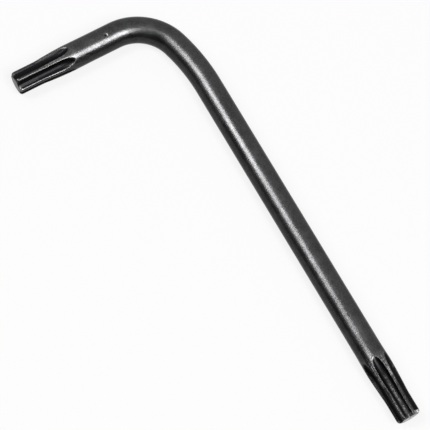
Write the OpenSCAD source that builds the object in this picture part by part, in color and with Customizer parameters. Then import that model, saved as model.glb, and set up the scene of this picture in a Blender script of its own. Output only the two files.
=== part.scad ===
// Star-drive key: one bent steel rod with a six-lobe drive swaged on each end.
// It lies flat with +Z up. The long arm runs along +X and the short arm along -Y.
// The origin is under the middle of the key's outline, on the surface it lies on.

/* [Rod] */
// Diameter of the rod
rod_d = 3; // [2.9:0.1:3.2]
// Overall length, from the outside of the short arm to the long tip
long_len = 54.5; // [45:0.5:90]
// Overall height of the L, from the outside of the long arm to the short tip
short_len = 20.1; // [18.6:0.5:29.6]
// Radius of the tight part of the bend, measured to the middle of the rod
bend_r = 5.6; // [5:0.3:6.5]
// Radius of the gentle lead-in from the long arm, to the middle of the rod
lead_r = 22; // [20:1:25]

/* [Star drive] */
// Diameter over the points of the star
star_d = 2.72; // [2.69:0.03:2.75]
// Diameter across the roots of the flutes
root_d = 1.96; // [1.92:0.04:2]
// Radius of each flute
flute_r = 0.6; // [0.57:0.03:0.63]
// Radius of each rounded lobe
lobe_r = 0.24; // [0.23:0.01:0.25]
// Rounding of the rim at each tip
tip_round = 0.4; // [0.1:0.1:0.4]

/* [Swaged ends] */
// Full star length on the long arm
long_star = 2.6; // [2.2:0.4:3.4]
// Full star length on the short arm
short_star = 3.0; // [2.2:0.4:3.4]
// Distance from each tip to the end of the taper
taper_end = 5.6; // [5:0.6:6.2]
// Distance from the long tip over which its flutes run straight
long_flute = 5.0; // [4.6:0.4:5.4]
// Distance from the short tip over which its flutes run straight
short_flute = 4.9; // [4.5:0.4:5.3]
// Distance from the long tip to where its flutes run out
long_runout = 7.4; // [7.4:0.1:7.5]
// Distance from the short tip to where its flutes run out
short_runout = 6.9; // [6.9:0.1:7.0]
// How far the metal pushed back by the long star stands proud of the rod
long_swell = 0.04; // [0.02:0.02:0.06]
// How far the metal pushed back by the short star stands proud of the rod
short_swell = 0.02; // [0.02:0.02:0.06]

/* [Hidden] */
$fn = 96;
steel = [0.19, 0.19, 0.2];

rod_r = rod_d / 2;
star_r = star_d / 2;
// The flute's own centre line, and the lobe's, measured from the arm's axis
flute_c = root_d / 2 + flute_r;
lobe_c = star_r - lobe_r;
// The round core that the lobes stand on, just under the foot of each lobe
core_r = lobe_c + 0.25 * lobe_r;
// The axes lie at this height, so that the swell just clears the surface
axis_z = rod_r + max(long_swell, short_swell);
// The corner is where the two arm axes would cross
corner_x = -(long_len / 2) + rod_r + short_swell / 2;
corner_y = short_len / 2 - rod_r - long_swell / 2;
// Each arm, measured from the corner to its tip
long_arm = long_len - rod_r;
short_arm = short_len - rod_r;
// The lead-in turns through the small angle of a 7-24-25 triangle, and the
// tight part of the bend takes the rest of the quarter turn
lead_sin = 0.28;
lead_cos = 0.96;
// Where the bend starts on each arm, measured from the corner
bend_long = lead_r * lead_sin + bend_r * (1 - lead_sin);
bend_short = lead_r * (1 - lead_cos) + bend_r * lead_cos;
// Turn of each star, in degrees, from straight up towards the inside of the L
long_turn = 40;
short_turn = 7;

// Points along the rounded rim, from the flat face out to the full radius
function rim(r, k, n = 8) =
    [for (i = [0:n]) [r - k + k * sin(90 * i / n), k - k * cos(90 * i / n)]];

// Outline of the star's own length, for turning about the arm's axis
module tip_outline(len) {
    polygon(concat([[0, 0]], rim(star_r + 0.002, tip_round),
        [[star_r + 0.002, len], [0, len]]));
}

// Outline of the taper, the swell behind it and the plain rod, for turning
module arm_outline(len, star, swell) {
    polygon([
        [0, star - 0.8],
        [core_r - 0.01, star - 0.8],
        [star_r, star],
        [rod_r + 0.3 * swell, taper_end - 0.3],
        [rod_r + swell, taper_end + 0.4],
        [rod_r + swell, taper_end + 1.0],
        [rod_r, taper_end + 3.0],
        [rod_r, len],
        [0, len]
    ]);
}

// The six lobes and the core under them, still without the flutes between
module star_blank(len, turn) {
    intersection() {
        rotate_extrude() tip_outline(len);
        union() {
            translate([0, 0, -1]) cylinder(r = core_r, h = len + 2);
            for (a = [0:60:300])
                rotate([0, 0, a + turn]) translate([lobe_c, 0, -1])
                    cylinder(r = lobe_r, h = len + 2);
        }
    }
}

// One flute: straight through the star and the taper, then curving out of
// the rod's side
module flute(straight, runout) {
    // Height that the flute's floor climbs by the place where it runs out
    climb = rod_r - root_d / 2;
    run = runout - straight;
    floor_r = (run * run + climb * climb) / (2 * climb);
    path_r = floor_r - flute_r;
    translate([flute_c, 0, -1]) cylinder(r = flute_r, h = straight + 1);
    translate([flute_c + path_r, 0, straight]) rotate([90, 0, 0])
        rotate([0, 0, 180]) mirror([0, 1, 0])
            rotate_extrude(angle = 42) translate([path_r, 0]) circle(r = flute_r);
}

// One whole arm standing on its tip. Only the lobes and the flutes take the
// turn, so that the arm meets the bend on one shared circle.
module arm(len, star, straight, runout, swell, turn) {
    difference() {
        union() {
            star_blank(star + 1.5, turn);
            rotate_extrude() arm_outline(len, star, swell);
        }
        for (a = [30:60:330]) rotate([0, 0, a + turn]) flute(straight, runout);
    }
}

// The quarter bend that joins the arms: tight by the short arm, with a
// gentle lead-in on the long arm, where the rod was wiped around the former
module bend() {
    step = lead_r - bend_r;
    translate([bend_long, -lead_r, 0])
        arc_piece(lead_r, [[0, 0], [0, 40], [-40 * lead_sin, 40 * lead_cos]]);
    translate([bend_long - step * lead_sin, -lead_r + step * lead_cos, 0])
        arc_piece(bend_r, [[0, 0], [-20 * lead_sin, 20 * lead_cos], [-30, 30], [-20, 0]]);
}

// The part of a ring of rod that lies inside a wedge
module arc_piece(r, wedge) {
    intersection() {
        rotate_extrude() translate([r, 0]) circle(r = rod_r);
        translate([0, 0, -3]) linear_extrude(height = 6) polygon(wedge);
    }
}

module key() {
    color(steel) translate([corner_x, corner_y, axis_z]) union() {
        bend();
        // Each arm is stood with its own +X up, so that its star turns from there
        translate([long_arm, 0, 0]) rotate([0, -90, 0])
            arm(long_arm - bend_long, long_star, long_flute, long_runout, long_swell, -long_turn);
        translate([0, -short_arm, 0]) rotate([-90, 0, 0]) rotate([0, 0, -90])
            arm(short_arm - bend_short, short_star, short_flute, short_runout, short_swell, short_turn);
    }
}

key();
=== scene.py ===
import math
import bpy
import numpy as np
from mathutils import Matrix, Vector


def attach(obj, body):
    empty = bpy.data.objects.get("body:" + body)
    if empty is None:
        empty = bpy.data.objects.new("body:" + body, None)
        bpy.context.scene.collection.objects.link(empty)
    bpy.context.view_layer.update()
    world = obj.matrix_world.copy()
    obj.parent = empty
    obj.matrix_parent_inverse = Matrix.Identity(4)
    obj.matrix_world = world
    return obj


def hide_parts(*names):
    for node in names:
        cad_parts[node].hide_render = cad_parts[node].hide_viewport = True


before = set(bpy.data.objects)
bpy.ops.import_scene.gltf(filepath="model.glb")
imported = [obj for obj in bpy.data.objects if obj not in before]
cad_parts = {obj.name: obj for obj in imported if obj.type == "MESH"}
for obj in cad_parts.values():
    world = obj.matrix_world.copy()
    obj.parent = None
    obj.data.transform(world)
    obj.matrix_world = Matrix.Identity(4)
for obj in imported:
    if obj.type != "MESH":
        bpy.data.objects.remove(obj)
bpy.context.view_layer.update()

# ---------------------------------------------------------------- dimensions
# Millimetres, in the CAD frame, the same numbers as part.scad.
ROD_R = 1.5
LONG_LEN, SHORT_LEN = 54.5, 20.1
BEND_R, LEAD_R = 5.6, 22.0
LEAD_SIN, LEAD_COS = 0.28, 0.96
STAR_R, ROOT_R = 1.36, 0.98
FLUTE_R, LOBE_R = 0.60, 0.24
TIP_ROUND = 0.40
TAPER_END = 5.6
LONG = dict(star=2.6, straight=5.0, run=7.4, swell=0.04, turn=40.0)
SHORT = dict(star=3.0, straight=4.9, run=6.9, swell=0.02, turn=7.0)
AXIS_Z = ROD_R + LONG["swell"]
CX = -LONG_LEN / 2 + ROD_R + SHORT["swell"] / 2
CY = SHORT_LEN / 2 - ROD_R - LONG["swell"] / 2
LONG_ARM, SHORT_ARM = LONG_LEN - ROD_R, SHORT_LEN - ROD_R
FLUTE_C = ROOT_R + FLUTE_R
LOBE_C = STAR_R - LOBE_R
LEAD = math.atan2(LEAD_SIN, LEAD_COS)
BEND_LONG = LEAD_R * LEAD_SIN + BEND_R * (1 - LEAD_SIN)
BEND_SHORT = LEAD_R * (1 - LEAD_COS) + BEND_R * LEAD_COS
STRAIGHT_L = LONG_ARM - BEND_LONG
STRAIGHT_S = SHORT_ARM - BEND_SHORT
ARC_A = LEAD_R * LEAD
ARC_B = BEND_R * (math.pi / 2 - LEAD)
TOTAL = STRAIGHT_L + ARC_A + ARC_B + STRAIGHT_S


# ------------------------------------------------------------- section maths
def smin(a, b, k):
    """Smooth minimum: rounds the edge where two surfaces meet."""
    h = np.clip(0.5 + 0.5 * (b - a) / k, 0.0, 1.0)
    return b * (1 - h) + a * h - k * h * (1 - h)


def outline(s, end):
    """Radius of the turned outline at distance s back from the tip."""
    e = end
    xs = [0.0, e["star"], TAPER_END - 0.3, TAPER_END + 0.4, TAPER_END + 1.0, TAPER_END + 3.0, 200.0]
    ys = [STAR_R, STAR_R, ROD_R + 0.3 * e["swell"], ROD_R + e["swell"], ROD_R + e["swell"], ROD_R, ROD_R]
    # average over a short length, so that the taper blends in at both ends
    r = np.zeros_like(s)
    offs = np.linspace(-0.45, 0.45, 9)
    for o in offs:
        r += np.interp(np.maximum(s + o, 0.0), xs, ys)
    return r / len(offs)


def flute_floor(s, end):
    """How far the flute's floor has climbed from the root at distance s."""
    climb = ROD_R - ROOT_R
    run = end["run"] - end["straight"]
    fr = (run * run + climb * climb) / (2 * climb)
    d = np.clip(s - end["straight"], 0, fr * 0.95)
    return fr - np.sqrt(fr * fr - d * d)


def section(s, ang, end):
    """Surface radius at distance s from the tip, at angle ang from a lobe."""
    r_out = outline(s, end)
    # fold the angle into one lobe: -30..30 degrees about its crest
    a = np.abs((ang + math.pi / 6) % (math.pi / 3) - math.pi / 6)
    ca, sa = np.cos(a), np.sin(a)
    # rounded crest of the lobe, only over the star's own length
    disc = np.maximum(LOBE_R ** 2 - (LOBE_C * sa) ** 2, 0.0)
    crest = LOBE_C * ca + np.sqrt(disc)
    crest = np.where(LOBE_C * sa < LOBE_R, crest, LOBE_C * ca)
    w = np.clip((s - (end["star"] - 0.9)) / 1.8, 0.0, 1.0)
    w = w * w * (3 - 2 * w)
    body = np.minimum(r_out, crest) * (1 - w) + r_out * w
    # flute: a round channel whose centre moves outward as its floor climbs
    fc = FLUTE_C + flute_floor(s, end)
    b = math.pi / 6 - a
    disc = FLUTE_R ** 2 - (fc * np.sin(b)) ** 2
    near = np.where(disc > 0, fc * np.cos(b) - np.sqrt(np.maximum(disc, 0.0)), 9.0)
    k = 0.030 + 0.0 * w
    return smin(body, near, k)


# ------------------------------------------------------------------ the mesh
def stations():
    """Distances along the key from the long tip: fine at stars, even elsewhere."""
    fine = np.concatenate([np.linspace(0.0, TIP_ROUND, 13), np.arange(TIP_ROUND + 0.08, 9.0, 0.085)])
    pit = TOTAL - 11.2
    mid = np.concatenate([np.arange(9.0, pit - 0.65, 0.19), np.arange(pit - 0.55, pit + 0.56, 0.05),
                          np.arange(pit + 0.70, TOTAL - 9.0, 0.19)])
    last = TOTAL - fine[::-1]
    last = last[last > mid[-1] + 0.05]
    return np.concatenate([fine, mid, last])


def place(u):
    """Point on the key's middle line, with its inner-side direction."""
    if u <= STRAIGHT_L:
        return Vector((CX + LONG_ARM - u, CY, AXIS_Z)), Vector((0, -1, 0))
    if u <= STRAIGHT_L + ARC_A:
        t = (u - STRAIGHT_L) / LEAD_R
        c = Vector((CX + BEND_LONG, CY - LEAD_R, AXIS_Z))
        out = Vector((-math.sin(t), math.cos(t), 0))
        return c + out * LEAD_R, -out
    if u <= STRAIGHT_L + ARC_A + ARC_B:
        t = LEAD + (u - STRAIGHT_L - ARC_A) / BEND_R
        c = Vector((CX + BEND_R, CY - BEND_SHORT, AXIS_Z))
        out = Vector((-math.sin(t), math.cos(t), 0))
        return c + out * BEND_R, -out
    d = u - STRAIGHT_L - ARC_A - ARC_B
    return Vector((CX, CY - BEND_SHORT - d, AXIS_Z)), Vector((1, 0, 0))


# Small pits: distance from the long tip, angle from straight up towards the
# inner side (degrees), radius and depth in millimetres
rng = np.random.RandomState(5)
PITS = [(TOTAL - 11.2, 2.0, 0.17, 0.090), (TOTAL - 11.2, 2.0, 0.34, -0.014),
        (39.0, -20.0, 0.13, 0.040), (12.5, 8.0, 0.12, 0.030)]
for _ in range(110):
    PITS.append((rng.uniform(9.0, TOTAL - 9.0), rng.uniform(-180, 180),
                 rng.uniform(0.06, 0.12), rng.uniform(0.004, 0.014)))
# a rough patch low on the inner side of the short arm
for _ in range(16):
    PITS.append((TOTAL - rng.uniform(7.4, 10.4), rng.uniform(44, 78),
                 rng.uniform(0.09, 0.15), rng.uniform(0.014, 0.032)))
# knocks on the outer side of the long star's swell
for _ in range(9):
    PITS.append((rng.uniform(3.6, 6.0), rng.uniform(-68, -38),
                 rng.uniform(0.10, 0.16), rng.uniform(0.010, 0.030)))


def pit_depth(u, angs):
    d = np.zeros_like(angs)
    for pu, pa, pr, pd in PITS:
        if abs(u - pu) < 3.2 * pr:
            da = (angs - math.radians(pa) + math.pi) % (2 * math.pi) - math.pi
            q = ((u - pu) ** 2 + (da * ROD_R) ** 2) / pr ** 2
            d += pd * np.exp(-q)
    return d


SEG = 180
ang = np.arange(SEG) / SEG * 2 * math.pi


def about(deg, width):
    """A soft bump around one direction, in degrees from straight up."""
    d = (ang - math.radians(deg) + math.pi) % (2 * math.pi) - math.pi
    return np.exp(-(d / math.radians(width)) ** 2)


def build_key():
    us = stations()
    total, sl, arc = TOTAL, STRAIGHT_L + ARC_A, ARC_B
    verts, attr_wear, attr_flute = [], [], []
    up = Vector((0, 0, 1))

    def add_ring(u, radii, wear, flute):
        p, inner = place(u)
        for i in range(SEG):
            # angle 0 faces up, positive towards the inner side of the L
            d = up * math.cos(ang[i]) + inner * math.sin(ang[i])
            verts.append(p + d * float(radii[i]))
        attr_wear.extend(wear.tolist())
        attr_flute.extend(flute.tolist())

    rings = []
    for u in us:
        from_long = u < total / 2
        end = LONG if from_long else SHORT
        s = np.full(SEG, u if from_long else total - u)
        phase = math.radians(end["turn"])
        r = section(s, ang - phase, end)
        full = outline(s, end)
        # rim rounding: the radius pulls in along a quarter circle at the tip
        if s[0] < TIP_ROUND:
            pull = TIP_ROUND - math.sqrt(max(TIP_ROUND ** 2 - (TIP_ROUND - s[0]) ** 2, 0.0))
            r = np.minimum(r, smin(r, full - pull, 0.02))
        # painted shade: the colour darkens the deeper the surface sits below the turned outline, most of
        # all in the flutes
        flute = np.clip((full - r) / 0.30, 0, 1)
        a = np.abs((ang - phase + math.pi / 6) % (math.pi / 3) - math.pi / 6)
        near = np.clip(1 - s / (end["star"] + 4.4), 0, 1) ** 0.5
        if from_long:
            # rubbed hardest where the ridges climb the taper
            near = (0.20 + 0.80 * np.exp(-((s - 5.7) / 1.6) ** 4)) * np.clip((8.0 - s) / 0.6, 0, 1)
        # wear sits on the crests and on the flute's two rims
        lip = np.exp(-((full - r - 0.014) / 0.018) ** 2) * np.clip((s - end["star"]) / 0.8, 0, 1)
        crest = np.exp(-(a / math.radians(1.9)) ** 2)
        edge = np.maximum(crest * (0.70 if from_long else 0.22), (0.35 if from_long else 0.6) * lip)
        amount = 0.95 if from_long else 0.30
        if s[0] < 0.32:
            amount *= 1.15
        wear = near * edge * amount
        if s[0] < TIP_ROUND:
            # the rounded ends of the lobes are rubbed bright, most of all on
            # the outer side of the long tip
            k = 1 - s[0] / TIP_ROUND
            rub = 0.30 if from_long else 0.12 + 0.60 * about(67, 28)
            wear = np.maximum(wear, rub * k * np.exp(-(a / math.radians(13)) ** 2))
            if from_long:
                wear = np.maximum(wear, 1.3 * about(-52, 24))
        # painted shade: the lobe that faces up is darkened, fading off beside it
        if from_long:
            # the floor of the upper flute gets less painted shade, so it reads grey, and is speckled
            # with wear
            fade = np.clip((5.8 - s) / 1.8, 0, 1)
            flute = flute * (1 - 0.66 * about(15, 15) * fade)
            wear = np.maximum(wear, 0.11 * about(13, 6) * fade)
            # painted shade darkens the lobe of the long star that faces up
            flute = np.maximum(flute, 0.27 * about(-22, 17) * np.clip((5.6 - s) / 1.5, 0, 1))
            wear = wear * (1 - 0.7 * about(40, 9) * np.clip((s - 4.6) / 0.8, 0, 1))
            wear = np.maximum(wear, 3.0 * about(40, 1.5) * np.exp(-((s - 5.6) / 1.45) ** 4))
            wear = np.maximum(wear, 0.9 * about(-20, 1.5) * np.exp(-((s - 5.0) / 1.0) ** 4))
        else:
            # painted shade darkens the lobe of the short star that faces up
            flute = np.maximum(flute, 0.26 * about(7, 17) * np.clip((5.0 - s) / 1.5, 0, 1))
        # the one deep pit: painted shade darkens its inside, and its lip is bright
        if abs(u - PITS[0][0]) < 0.8:
            da = (ang - math.radians(PITS[0][1]) + math.pi) % (2 * math.pi) - math.pi
            q = np.sqrt((u - PITS[0][0]) ** 2 + (da * ROD_R) ** 2) / PITS[0][2]
            flute = np.maximum(flute, 0.55 * np.exp(-(q / 0.85) ** 4))
            wear = np.maximum(wear, 0.07 * np.exp(-((q - 1.30) / 0.28) ** 2))
        # the bend is pressed very slightly flat on its outer side
        if sl < u < sl + arc:
            t = (u - sl) / arc
            k = math.sin(math.pi * t) ** 2
            r = r * (1 - 0.020 * k * np.clip(-np.sin(ang), 0, 1) ** 2)
        r = r - pit_depth(u, ang)
        rings.append((u, r, wear, flute))
    for u, r, wear, flute in rings:
        add_ring(u, r, wear, flute)
    n = len(rings)
    faces = []
    for j in range(n - 1):
        for i in range(SEG):
            k = (i + 1) % SEG
            faces.append((j * SEG + i, (j + 1) * SEG + i, (j + 1) * SEG + k, j * SEG + k))

    # flat tips: rings shrinking to a centre point
    def cap(ring, u, flip):
        p, inner = place(u)
        prev = ring
        base = rings[0] if not flip else rings[-1]
        for sc in (0.86, 0.62, 0.34):
            start = len(verts)
            add_ring(u, base[1] * sc, base[2] * 0.0 + (1.3 if not flip else 0.08), base[3] * 0)
            for i in range(SEG):
                k = (i + 1) % SEG
                q = (prev + i, prev + k, start + k, start + i)
                faces.append(q[::-1] if flip else q)
            prev = start
        c = len(verts)
        verts.append(p)
        attr_wear.append(0.08 if flip else 1.3)
        attr_flute.append(0.0)
        for i in range(SEG):
            k = (i + 1) % SEG
            q = (prev + i, prev + k, c)
            faces.append(q[::-1] if flip else q)

    cap(0, us[0], False)
    cap((n - 1) * SEG, us[-1], True)

    co = np.array([v[:] for v in verts])
    me = bpy.data.meshes.new("key_steel")
    me.from_pydata((co / 1000.0).tolist(), [], faces)
    a = me.attributes.new("wear", "FLOAT", "POINT")
    a.data.foreach_set("value", np.array(attr_wear, dtype=np.float32))
    a = me.attributes.new("flute", "FLOAT", "POINT")
    a.data.foreach_set("value", np.array(attr_flute, dtype=np.float32))
    me.validate()
    me.update()
    for p in me.polygons:
        p.use_smooth = True
    ob = bpy.data.objects.new("key_steel", me)
    bpy.context.scene.collection.objects.link(ob)
    return ob


# ----------------------------------------------------------------- materials
def new_mat(name):
    m = bpy.data.materials.new(name)
    m.use_nodes = True
    nt = m.node_tree
    for n in list(nt.nodes):
        nt.nodes.remove(n)
    out = nt.nodes.new("ShaderNodeOutputMaterial")
    b = nt.nodes.new("ShaderNodeBsdfPrincipled")
    nt.links.new(b.outputs["BSDF"], out.inputs["Surface"])
    return m, nt, b


def steel_material():
    m, nt, b = new_mat("black_oxide_steel")
    N, L = nt.nodes, nt.links
    tc = N.new("ShaderNodeTexCoord")

    def noise(scale, detail, rough=0.5, dist=0.0):
        n = N.new("ShaderNodeTexNoise")
        n.inputs["Scale"].default_value = scale
        n.inputs["Detail"].default_value = detail
        n.inputs["Roughness"].default_value = rough
        n.inputs["Distortion"].default_value = dist
        L.new(tc.outputs["Object"], n.inputs["Vector"])
        return n

    def ramp(src, p0, c0, p1, c1):
        r = N.new("ShaderNodeMapRange")
        r.inputs["From Min"].default_value = p0
        r.inputs["From Max"].default_value = p1
        r.inputs["To Min"].default_value = c0
        r.inputs["To Max"].default_value = c1
        L.new(src, r.inputs["Value"])
        return r.outputs["Result"]

    def math_node(op, a, c):
        n = N.new("ShaderNodeMath")
        n.operation = op
        for i, v in enumerate((a, c)):
            if isinstance(v, (int, float)):
                n.inputs[i].default_value = v
            else:
                L.new(v, n.inputs[i])
        return n.outputs[0]

    grain = noise(8200, 2.0, 0.6)
    blotch = noise(900, 4.0, 0.6)
    broad = noise(220, 2.0)
    speck = noise(4200, 2.0, 0.7)
    wear = N.new("ShaderNodeAttribute")
    wear.attribute_name = "wear"
    flute = N.new("ShaderNodeAttribute")
    flute.attribute_name = "flute"

    worn = math_node("MULTIPLY", wear.outputs["Fac"], ramp(speck.outputs["Fac"], 0.40, 0.10, 0.60, 1.0))
    # base colour: near-black oxide with faint mottling, bare steel where worn
    base = N.new("ShaderNodeMix")
    base.data_type = "RGBA"
    base.inputs["A"].default_value = (0.026, 0.026, 0.0265, 1)
    base.inputs["B"].default_value = (0.045, 0.045, 0.046, 1)
    fine = noise(6400, 2.0, 0.75)
    sand = math_node("ADD", math_node("MULTIPLY", fine.outputs["Fac"], 0.62),
                     math_node("MULTIPLY", blotch.outputs["Fac"], 0.38))
    L.new(ramp(sand, 0.41, 0.0, 0.59, 1.0), base.inputs["Factor"])
    # painted shade: the colour goes near black where this mask is high, in the flutes, the deep pit and
    # the lobe that faces up
    dark = N.new("ShaderNodeMix")
    dark.data_type = "RGBA"
    dark.inputs["B"].default_value = (0.004, 0.004, 0.0045, 1)
    L.new(base.outputs["Result"], dark.inputs["A"])
    L.new(ramp(flute.outputs["Fac"], 0.05, 0.0, 0.45, 0.96), dark.inputs["Factor"])
    mix = N.new("ShaderNodeMix")
    mix.data_type = "RGBA"
    mix.inputs["B"].default_value = (0.56, 0.56, 0.55, 1)
    L.new(dark.outputs["Result"], mix.inputs["A"])
    L.new(worn, mix.inputs["Factor"])
    L.new(mix.outputs["Result"], b.inputs["Base Color"])
    b.inputs["Metallic"].default_value = 1.0
    rough = math_node("ADD", ramp(blotch.outputs["Fac"], 0.3, 0.28, 0.7, 0.31), ramp(broad.outputs["Fac"], 0.3, -0.03, 0.7, 0.04))
    rough = math_node("ADD", rough, math_node("MULTIPLY", flute.outputs["Fac"], 0.10))
    L.new(rough, b.inputs["Roughness"])
    b.inputs["Specular IOR Level"].default_value = 0.5
    b.inputs["Specular Tint"].default_value = (0.78, 0.78, 0.78, 1)
    bump = N.new("ShaderNodeBump")
    bump.inputs["Strength"].default_value = 0.9
    bump.inputs["Distance"].default_value = 0.000006
    L.new(math_node("ADD", grain.outputs["Fac"], math_node("MULTIPLY", blotch.outputs["Fac"], 0.25)), bump.inputs["Height"])
    L.new(bump.outputs["Normal"], b.inputs["Normal"])
    return m


def floor_material():
    m, nt, b = new_mat("pale_floor")
    b.inputs["Base Color"].default_value = (0.035, 0.035, 0.035, 1)
    b.inputs["Emission Color"].default_value = (1, 1, 1, 1)
    b.inputs["Emission Strength"].default_value = 0.82
    b.inputs["Roughness"].default_value = 0.9
    b.inputs["Specular IOR Level"].default_value = 0.1
    return m


# --------------------------------------------------------------------- scene
key = build_key()
key.data.materials.append(steel_material())
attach(key, "root")
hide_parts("key")

me = bpy.data.meshes.new("floor")
g = 1.2
me.from_pydata([(-g, -g, 0), (g, -g, 0), (g, g, 0), (-g, g, 0)], [], [(0, 1, 2, 3)])
floor = bpy.data.objects.new("floor", me)
bpy.context.scene.collection.objects.link(floor)
floor.data.materials.append(floor_material())


# camera: fitted viewing angle
def frame_from(loc, right, up, back):
    m = Matrix((right, up, back)).transposed().to_4x4()
    m.translation = Vector(loc)
    return m


cam_data = bpy.data.cameras.new("camera")
cam = bpy.data.objects.new("camera", cam_data)
bpy.context.scene.collection.objects.link(cam)
cam_data.sensor_width = 36.0
cam_data.lens = 184.186
cam_data.clip_start = 0.005
cam_data.clip_end = 5.0
RIGHT = Vector((0.496545, 0.864907, 0.073342))
UP = Vector((-0.834242, 0.452182, 0.31555))
BACK = Vector((0.239758, -0.21787, 0.94607))
cam.matrix_world = frame_from((0.054849, -0.050172, 0.226677), RIGHT, UP, BACK)
bpy.context.scene.camera = cam


# lights
def softbox(name, direction, along, dist, length, width, radiance):
    """A soft box seen from the key in a direction, its long side along a vector."""
    z = Vector(direction).normalized()
    x = Vector(along)
    x = (x - z * x.dot(z)).normalized()
    y = z.cross(x)
    d = bpy.data.lights.new(name, "AREA")
    d.shape = "RECTANGLE"
    d.size, d.size_y = length * dist, width * dist
    d.energy = radiance * math.pi * d.size * d.size_y
    o = bpy.data.objects.new(name, d)
    bpy.context.scene.collection.objects.link(o)
    m = Matrix((x, y, z)).transposed().to_4x4()
    m.translation = z * dist
    o.matrix_world = m
    return o


# One box shows along the short arm, the other along the long arm, and a weak
# one joins them around the bend
softbox("box_short", (0.48, 0.14, 0.85), (1, 0, -0.6), 0.6, 0.52, 0.34, 42.0)
softbox("box_long", (-0.33, -0.42, 0.85), (0, -1, -0.5), 0.6, 0.52, 0.27, 38.0)
softbox("box_bend", (0.362, -0.384, 0.847), (1, -1, -0.5), 0.62, 0.40, 0.22, 0.8)

# Surroundings: bright on the outer side of the L, dark on its inner side
w = bpy.data.worlds.new("world")
bpy.context.scene.world = w
w.use_nodes = True
wt = w.node_tree
bg = wt.nodes["Background"]
geo = wt.nodes.new("ShaderNodeTexCoord")
dot = wt.nodes.new("ShaderNodeVectorMath")
dot.operation = "DOT_PRODUCT"
dot.inputs[1].default_value = (-0.707, 0.707, 0.0)
wt.links.new(geo.outputs["Generated"], dot.inputs[0])
mr = wt.nodes.new("ShaderNodeMapRange")
mr.interpolation_type = "SMOOTHSTEP"
mr.inputs["From Min"].default_value = -0.45
mr.inputs["From Max"].default_value = 0.0
mr.inputs["To Min"].default_value = 0.12
mr.inputs["To Max"].default_value = 1.3
wt.links.new(dot.outputs["Value"], mr.inputs["Value"])
wt.links.new(mr.outputs["Result"], bg.inputs["Strength"])
bg.inputs["Color"].default_value = (1, 1, 1, 1)
bpy.context.scene.view_settings.view_transform = "Standard"
